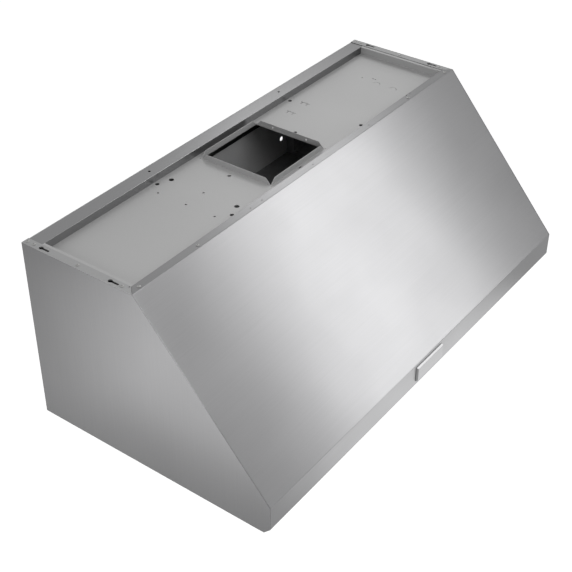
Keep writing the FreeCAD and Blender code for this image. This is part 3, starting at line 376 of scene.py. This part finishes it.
# Shares of that bend, for each kind of edge
OUTSIDE_BEND = 1
INSIDE_BEND = 0.3
CUT_EDGE = 0.12


def face_width(face):
    """About how wide a long thin face is."""
    return 2 * face.calc_area() / face.calc_perimeter()


def is_corner(edge):
    """Whether an edge is a clear fold between two faces."""
    return len(edge.link_faces) == 2 and edge.calc_face_angle() >= SHARP


def sheet_softness(edge):
    """How far a sheet's edge is rounded, as a share of the outside bend."""
    if not is_corner(edge) or edge.calc_length() < SHORT_EDGE:
        return 0
    if min(face_width(face) for face in edge.link_faces) < CUT_FACE:
        return CUT_EDGE
    return OUTSIDE_BEND if edge.is_convex else INSIDE_BEND


def solid_softness(edge):
    """A solid's outer edges are all rounded alike."""
    return 1 if is_corner(edge) and edge.is_convex else 0


def welded(mesh):
    """A mesh opened for editing, with points in the same place made one."""
    form = bmesh.new()
    form.from_mesh(mesh)
    bmesh.ops.remove_doubles(form, verts=form.verts, dist=WELD)
    return form


def put_back(form, mesh):
    """Write an edited form into a mesh."""
    form.to_mesh(mesh)
    form.free()


def new_piece(name, mesh):
    """An object that shows a mesh."""
    thing = bpy.data.objects.new(name, mesh)
    bpy.context.scene.collection.objects.link(thing)
    return thing


def make_plain(thing):
    """Replace a thing's modifiers by the mesh that they make."""
    bpy.context.view_layer.update()
    made = thing.evaluated_get(bpy.context.evaluated_depsgraph_get())
    mesh = bpy.data.meshes.new_from_object(made)
    thing.modifiers.clear()
    thing.data = mesh


def settle(thing, body):
    """Turn a thing into a plain piece that its body carries."""
    make_plain(thing)
    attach(thing, body)
    return thing


def marked_mesh(node, softness):
    """Welded mesh of a node, with each edge marked by how far it is to be rounded."""
    form = welded(frame["nodes"][node].data)
    bmesh.ops.dissolve_limit(form, angle_limit=FLAT, verts=form.verts, edges=form.edges)
    weight = form.edges.layers.float.new("bevel_weight_edge")
    for edge in form.edges:
        edge[weight] = softness(edge)
        edge.smooth = edge[weight] > 0 or edge.calc_face_angle(0) < SHARP
    bmesh.ops.triangulate(form, faces=form.faces)
    for face in form.faces:
        face.smooth = True
    mesh = bpy.data.meshes.new(node + "_formed")
    put_back(form, mesh)
    return mesh


def round_edges(thing, radius):
    """Round the marked edges of a thing, and clear away what that leaves without width."""
    rounding = thing.modifiers.new("rounding", "BEVEL")
    rounding.width = radius
    rounding.segments = BEND_SEGMENTS
    rounding.limit_method = "WEIGHT"
    rounding.use_clamp_overlap = False
    rounding.loop_slide = False
    make_plain(thing)
    form = welded(thing.data)
    bmesh.ops.dissolve_degenerate(form, dist=WELD, edges=form.edges)
    put_back(form, thing.data)


def formed(node, softness, radius):
    """Copy of a node with rounded edges, in the node's place."""
    mesh = marked_mesh(node, softness)
    mesh.materials.append(finish_of(node))
    # The upward faces of a side panel take the lighter flange sheet: painted light on its top
    if node.endswith("_side_panel"):
        mesh.materials.append(flange_painted_light)
        for face in mesh.polygons:
            face.material_index = int(face.normal.z > UPWARD)
    thing = new_piece(node + "_formed", mesh)
    round_edges(thing, radius)
    shading = thing.modifiers.new("shading", "WEIGHTED_NORMAL")
    shading.keep_sharp = True
    settle(thing, frame["nodes"][node]["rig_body"])
    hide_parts(node)


SHEETS = ["left_side_panel", "right_side_panel", "front_panel", "rear_panel", "rear_top_rail", "top_deck",
          "control_panel", "filter_rear_rail"]
for node in SHEETS:
    formed(node, sheet_softness, BEND)

FINE_EDGE = 0.4 * MM
BADGE_EDGE = 0.5 * MM
SOFT_EDGE = 0.8 * MM
EDGE_OF = {
    "badge_plate": BADGE_EDGE,
    "knob_bezels": FINE_EDGE,
    "lamp_bezels": SOFT_EDGE,
    "junction_box": SOFT_EDGE,
    "hinge_ears": FINE_EDGE,
    "junction_box_cover": FINE_EDGE,
    "tray_hangers": FINE_EDGE,
}
for name in CONTROLS:
    EDGE_OF[name + "_knob"] = SOFT_EDGE
for hand in HANDS:
    EDGE_OF[hand + "_grease_tray"] = FINE_EDGE
for name in FILTERS:
    EDGE_OF[name + "_frame"] = FINE_EDGE
    EDGE_OF[name + "_latch"] = FINE_EDGE
for node, radius in EDGE_OF.items():
    formed(node, solid_softness, radius)


# Helpers for the trees that grow pieces

CREASE = math.radians(35)


def upright(tree, height):
    """A vector straight up."""
    return add(tree, "ShaderNodeCombineXYZ", {"Z": height})


def raised(tree, geometry, height):
    """Geometry moved straight up."""
    return add(tree, "GeometryNodeTransform", {"Geometry": geometry, "Translation": upright(tree, height)})


def new_tree(name, sizes, counts):
    """An empty tree with named inputs; gives the tree and the sockets of its inputs."""
    tree = bpy.data.node_groups.new(name, "GeometryNodeTree")
    tree.interface.new_socket("Geometry", in_out="INPUT", socket_type="NodeSocketGeometry")
    tree.interface.new_socket("Geometry", in_out="OUTPUT", socket_type="NodeSocketGeometry")
    for label in sizes:
        tree.interface.new_socket(label, in_out="INPUT", socket_type="NodeSocketFloat")
    for label in counts:
        tree.interface.new_socket(label, in_out="INPUT", socket_type="NodeSocketInt")
    return tree, tree.nodes.new("NodeGroupInput").outputs


def close_tree(tree, geometry, finish):
    """End a tree: real mesh, smooth but for its sharp edges, in one material."""
    real = add(tree, "GeometryNodeRealizeInstances", {"Geometry": geometry})
    smooth = add(tree, "GeometryNodeSetShadeSmooth", {"Geometry": real})
    turn = add(tree, "GeometryNodeInputMeshEdgeAngle", {})
    sharp = add(tree, "FunctionNodeCompare", {0: turn, 1: CREASE}, operation="GREATER_THAN")
    creased = add(tree, "GeometryNodeSetShadeSmooth",
                  {"Geometry": smooth, "Selection": sharp, "Shade Smooth": False}, domain="EDGE")
    dressed = add(tree, "GeometryNodeSetMaterial", {"Geometry": creased, "Material": finish})
    add(tree, "NodeGroupOutput", {"Geometry": dressed})
    return tree


def grown(name, tree, places, sizes, body):
    """What a tree makes at some places, as a plain piece carried by a body."""
    mesh = bpy.data.meshes.new(name)
    mesh.from_pydata(places, [], [])
    thing = new_piece(name, mesh)
    growth = thing.modifiers.new("growth", "NODES")
    growth.node_group = tree
    for socket in tree.interface.items_tree:
        if socket.in_out == "INPUT" and socket.name in sizes:
            growth[socket.identifier] = sizes[socket.name]
    return settle(thing, body)


def solids_of(node):
    """The boxes of a node's separate solids, as pairs of corners."""
    form = welded(frame["nodes"][node].data)
    waiting = set(form.verts)
    boxes = []
    for start in form.verts:
        if start not in waiting:
            continue
        waiting.remove(start)
        found = [start]
        for vertex in found:
            for edge in vertex.link_edges:
                other = edge.other_vert(vertex)
                if other in waiting:
                    waiting.remove(other)
                    found.append(other)
        spots = list(zip(*[vertex.co for vertex in found]))
        boxes.append((Vector([min(axis) for axis in spots]), Vector([max(axis) for axis in spots])))
    form.free()
    return boxes


# Screws of the top flanges

SCREW_SIDES = 32
HEAD_RINGS = 6
DOME_SHARE = 0.5
RECESS_LENGTH = 4.2 * MM
RECESS_WIDTH = 0.9 * MM
RECESS_DEPTH = 0.9 * MM
SHANK_RADIUS = 2 * MM
SHANK_IN_HEAD = 0.25
SCREW_SEED = 3


def domed_head(tree, size):
    """Round head that stands on z = 0, with a top that falls away from its middle."""
    blank = add(tree, "GeometryNodeMeshCylinder",
                {"Vertices": SCREW_SIDES, "Fill Segments": HEAD_RINGS, "Radius": size["Head Radius"],
                 "Depth": size["Head Height"]}, fill_type="TRIANGLE_FAN")
    place = add(tree, "GeometryNodeInputPosition", {})
    axes = add(tree, "ShaderNodeSeparateXYZ", {"Vector": place}).outputs
    across = worked_out(tree, "POWER", axes["X"], 2)
    along = worked_out(tree, "POWER", axes["Y"], 2)
    rim = worked_out(tree, "POWER", size["Head Radius"], 2)
    share = worked_out(tree, "DIVIDE", worked_out(tree, "ADD", across, along), rim)
    drop = worked_out(tree, "MULTIPLY", worked_out(tree, "MULTIPLY", share, size["Dome"]), -1)
    top = add(tree, "FunctionNodeCompare", {0: axes["Z"], 1: 0}, operation="GREATER_THAN")
    domed = add(tree, "GeometryNodeSetPosition",
                {"Geometry": blank, "Selection": top, "Offset": upright(tree, drop)})
    return raised(tree, domed, worked_out(tree, "MULTIPLY", size["Head Height"], 0.5))


def recess_bars(tree, size):
    """Two bars that cross at the top of a head."""
    height = worked_out(tree, "MULTIPLY", size["Recess Depth"], 2)
    bar = add(tree, "ShaderNodeCombineXYZ",
              {"X": size["Recess Length"], "Y": size["Recess Width"], "Z": height})
    block = add(tree, "GeometryNodeMeshCube", {"Size": bar})
    first = raised(tree, block, size["Head Height"])
    second = add(tree, "GeometryNodeTransform", {"Geometry": first, "Rotation": (0, 0, math.radians(90))})
    return [first, second]


def screw_shank(tree, size):
    """Rod below a head, which starts inside it."""
    inside = worked_out(tree, "MULTIPLY", size["Head Height"], SHANK_IN_HEAD)
    reach = worked_out(tree, "ADD", size["Shank Length"], inside)
    rod = add(tree, "GeometryNodeMeshCylinder",
              {"Vertices": SCREW_SIDES, "Radius": size["Shank Radius"], "Depth": reach})
    half = worked_out(tree, "MULTIPLY", reach, 0.5)
    return raised(tree, rod, worked_out(tree, "SUBTRACT", half, size["Shank Length"]))


def screw_tree(finish):
    """Pan-head screws with a cross recess, each turned its own way."""
    sizes = ["Head Radius", "Head Height", "Dome", "Recess Length", "Recess Width", "Recess Depth",
             "Shank Radius", "Shank Length"]
    tree, size = new_tree("pan_head_screw", sizes, ["Seed"])
    driven = add(tree, "GeometryNodeMeshBoolean",
                 {"Mesh 1": domed_head(tree, size), "Mesh 2": recess_bars(tree, size)},
                 operation="DIFFERENCE", solver="EXACT")
    joined = add(tree, "GeometryNodeMeshBoolean", {"Mesh 2": [driven, screw_shank(tree, size)]},
                 operation="UNION", solver="EXACT")
    screw = add(tree, "GeometryNodeMergeByDistance", {"Geometry": joined, "Distance": WELD})
    turn = add(tree, "FunctionNodeRandomValue", {3: math.tau, "Seed": size["Seed"]}, data_type="FLOAT")
    screws = add(tree, "GeometryNodeInstanceOnPoints",
                 {"Points": size["Geometry"], "Instance": screw,
                  "Rotation": upright(tree, turn.outputs[1])})
    return close_tree(tree, screws, finish)


screw_boxes = solids_of("flange_screws")
low, high = screw_boxes[0]
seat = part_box("left_side_panel")[1].z
head_height = high.z - seat
screw_sizes = {
    "Head Radius": (high.x - low.x) / 2,
    "Head Height": head_height,
    "Dome": DOME_SHARE * head_height,
    "Recess Length": RECESS_LENGTH,
    "Recess Width": RECESS_WIDTH,
    "Recess Depth": RECESS_DEPTH,
    "Shank Radius": SHANK_RADIUS,
    "Shank Length": seat - low.z,
    "Seed": SCREW_SEED,
}
screw_seats = [(middle(box).x, middle(box).y, seat) for box in screw_boxes]
screws = grown("flange_screws_grown", screw_tree(screw_plating), screw_seats, screw_sizes,
               "hood")
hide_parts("flange_screws")


# Grip ribs of the knobs

RIB_SIDES = 12
RIB_RADIUS = 0.8 * MM
RIB_SINK = 0.3 * MM
RIB_SHARE = 0.7
RIB_COUNT = 36


def grip_tree(finish):
    """Upright ribs round a knob."""
    tree, size = new_tree("grip_ribs", ["Rim Radius", "Rib Radius", "Rib Length"], ["Rib Count"])
    rim = add(tree, "GeometryNodeMeshCircle", {"Vertices": size["Rib Count"], "Radius": size["Rim Radius"]})
    rib = add(tree, "GeometryNodeMeshCylinder",
              {"Vertices": RIB_SIDES, "Radius": size["Rib Radius"], "Depth": size["Rib Length"]})
    ring = add(tree, "GeometryNodeInstanceOnPoints", {"Points": rim, "Instance": rib})
    rings = add(tree, "GeometryNodeInstanceOnPoints", {"Points": size["Geometry"], "Instance": ring})
    return close_tree(tree, rings, finish)


for name in CONTROLS:
    knob = name + "_knob"
    low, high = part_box(knob)
    rib_sizes = {
        "Rim Radius": (high.x - low.x) / 2 - RIB_SINK,
        "Rib Radius": RIB_RADIUS,
        "Rib Length": RIB_SHARE * (high.z - low.z),
        "Rib Count": RIB_COUNT,
    }
    grown(knob + "_ribs", grip_tree(knob_turned[knob]), [middle((low, high))], rib_sizes,
          name + "_control")


# Rings on the lamp lenses

RING_SIDES = 64
RING_SECTION_SIDES = 12
RING_PITCH = 4.5 * MM
RING_THICKNESS = 0.8 * MM
RING_COUNT = 5


def lens_tree(finish):
    """Round ribs, one inside the other, on each lens."""
    tree, size = new_tree("lens_rings", ["Ring Pitch", "Ring Thickness"], ["Ring Count"])
    copies = add(tree, "GeometryNodeDuplicateElements",
                 {"Geometry": size["Geometry"], "Amount": size["Ring Count"]}, domain="POINT")
    step = worked_out(tree, "ADD", copies.outputs["Duplicate Index"], 1)
    radius = worked_out(tree, "MULTIPLY", step, size["Ring Pitch"])
    loop = add(tree, "GeometryNodeCurvePrimitiveCircle", {"Resolution": RING_SIDES, "Radius": 1})
    loops = add(tree, "GeometryNodeInstanceOnPoints", {"Points": copies, "Instance": loop, "Scale": radius})
    wires = add(tree, "GeometryNodeRealizeInstances", {"Geometry": loops})
    half = worked_out(tree, "MULTIPLY", size["Ring Thickness"], 0.5)
    section = add(tree, "GeometryNodeCurvePrimitiveCircle",
                  {"Resolution": RING_SECTION_SIDES, "Radius": half})
    rings = add(tree, "GeometryNodeCurveToMesh", {"Curve": wires, "Profile Curve": section})
    return close_tree(tree, rings, finish)


lens_faces = [(middle(box).x, middle(box).y, box[0].z) for box in solids_of("lamp_lenses")]
ring_sizes = {"Ring Pitch": RING_PITCH, "Ring Thickness": RING_THICKNESS, "Ring Count": RING_COUNT}
grown("lamp_lens_rings", lens_tree(lens_frost), lens_faces, ring_sizes, "hood")


# Camera, fitted to the corners of the hood in the photograph

IMAGE_SIDE = 572
FOCAL_PIXELS = 1198.78
SENSOR = 36
AZIMUTH = math.radians(-53.67)
ELEVATION = math.radians(36.08)
ROLL = math.radians(0.19)
TARGET = Vector((0, -0.3, 0.23))
DISTANCE = 2.82621
ACROSS = -0.0642
ALOFT = -0.08798


def photo_camera():
    """Camera at the photograph's viewing angle."""
    level = Vector((math.cos(AZIMUTH), math.sin(AZIMUTH), 0))
    back = Vector((math.sin(AZIMUTH) * math.cos(ELEVATION), -math.cos(AZIMUTH) * math.cos(ELEVATION),
                   math.sin(ELEVATION)))
    plumb = back.cross(level)
    right = level * math.cos(ROLL) + plumb * math.sin(ROLL)
    up = plumb * math.cos(ROLL) - level * math.sin(ROLL)
    lens = bpy.data.cameras.new("camera")
    lens.sensor_width = SENSOR
    lens.lens = FOCAL_PIXELS * SENSOR / IMAGE_SIDE
    camera = bpy.data.objects.new("camera", lens)
    bpy.context.scene.collection.objects.link(camera)
    stand = Matrix((right, up, back)).transposed().to_4x4()
    stand.translation = TARGET + back * DISTANCE + right * ACROSS + up * ALOFT
    camera.matrix_world = stand
    bpy.context.scene.camera = camera


# Light and floor

AMBIENT = 0.35
FLOOR_LEVEL = -1.65
FLOOR_HALF = 20
FLOOR_GREY = (0.4, 0.4, 0.4, 1)
FLOOR_ROUGHNESS = 0.9
FLOOR_GLOW = 0.87


def softbox(name, place, aim, width, height, glow, lean=0):
    """Rectangular lamp facing a point, leaning by some degrees; glow is how bright its face looks."""
    lamp = bpy.data.lights.new(name, "AREA")
    lamp.shape = "RECTANGLE"
    lamp.size = width
    lamp.size_y = height
    lamp.energy = glow * math.pi * width * height
    thing = bpy.data.objects.new(name, lamp)
    bpy.context.scene.collection.objects.link(thing)
    thing.location = place
    facing = (Vector(aim) - Vector(place)).to_track_quat("-Z", "Y")
    thing.rotation_euler = (facing @ Quaternion((0, 0, 1), math.radians(lean))).to_euler()


def seen_directly(tree):
    """1 for rays of the camera, of reflections and through glass."""
    ray = add(tree, "ShaderNodeLightPath", {}).outputs
    passed_on = worked_out(tree, "MAXIMUM", ray["Is Glossy Ray"], ray["Is Transmission Ray"])
    return worked_out(tree, "MAXIMUM", ray["Is Camera Ray"], passed_on)


def studio_world():
    """White room: white where it is seen, and softer as a light."""
    world = bpy.data.worlds.new("studio")
    world.use_nodes = True
    tree = world.node_tree
    level = add(tree, "ShaderNodeMapRange", {"Value": seen_directly(tree), "To Min": AMBIENT})
    feed(tree, tree.nodes["Background"], {"Color": WHITE, "Strength": level})
    bpy.context.scene.world = world


def studio_floor():
    """Pale floor below the hood, white where it is seen in the light."""
    mesh = bpy.data.meshes.new("floor")
    signs = ((-1, -1), (1, -1), (1, 1), (-1, 1))
    corners = [(x * FLOOR_HALF, y * FLOOR_HALF, FLOOR_LEVEL) for x, y in signs]
    mesh.from_pydata(corners, [], [(0, 1, 2, 3)])
    material, tree, shader = new_material("floor_white")
    level = add(tree, "ShaderNodeMapRange", {"Value": seen_directly(tree), "To Max": FLOOR_GLOW})
    feed(tree, shader, {"Base Color": FLOOR_GREY, "Roughness": FLOOR_ROUGHNESS, "Emission Color": WHITE,
                        "Emission Strength": level})
    mesh.materials.append(material)
    floor = new_piece("floor", mesh)


photo_camera()
studio_world()
studio_floor()
softbox("front_softbox", place=(1.68, -2.06, 1.14), aim=(0, -0.47, 0.27), width=0.85, height=2.4, glow=3.4,
        lean=-27)
softbox("lip_softbox", place=(0.7, -1.06, -0.77), aim=(-0.05, -0.63, 0.02), width=0.9, height=0.72, glow=1.55)
softbox("top_softbox", place=(2.0, 1.0, 2.15), aim=(0, -0.25, 0.45), width=0.8, height=0.8, glow=2.8)
softbox("side_softbox", place=(-1.31, -0.04, -0.39), aim=(-0.61, -0.04, -0.39), width=1.12, height=0.58,
        glow=2.25)
softbox("overhead_softbox", place=(-0.3, -1.05, 1.4), aim=(-0.1, -0.2, 0.44), width=0.9, height=0.6, glow=3.6)
softbox("collar_softbox", place=(-1.7, 0.0, 0.95), aim=(-0.1, -0.2, 0.44), width=0.7, height=0.5, glow=3.4)
bpy.context.scene.view_settings.view_transform = "Standard"
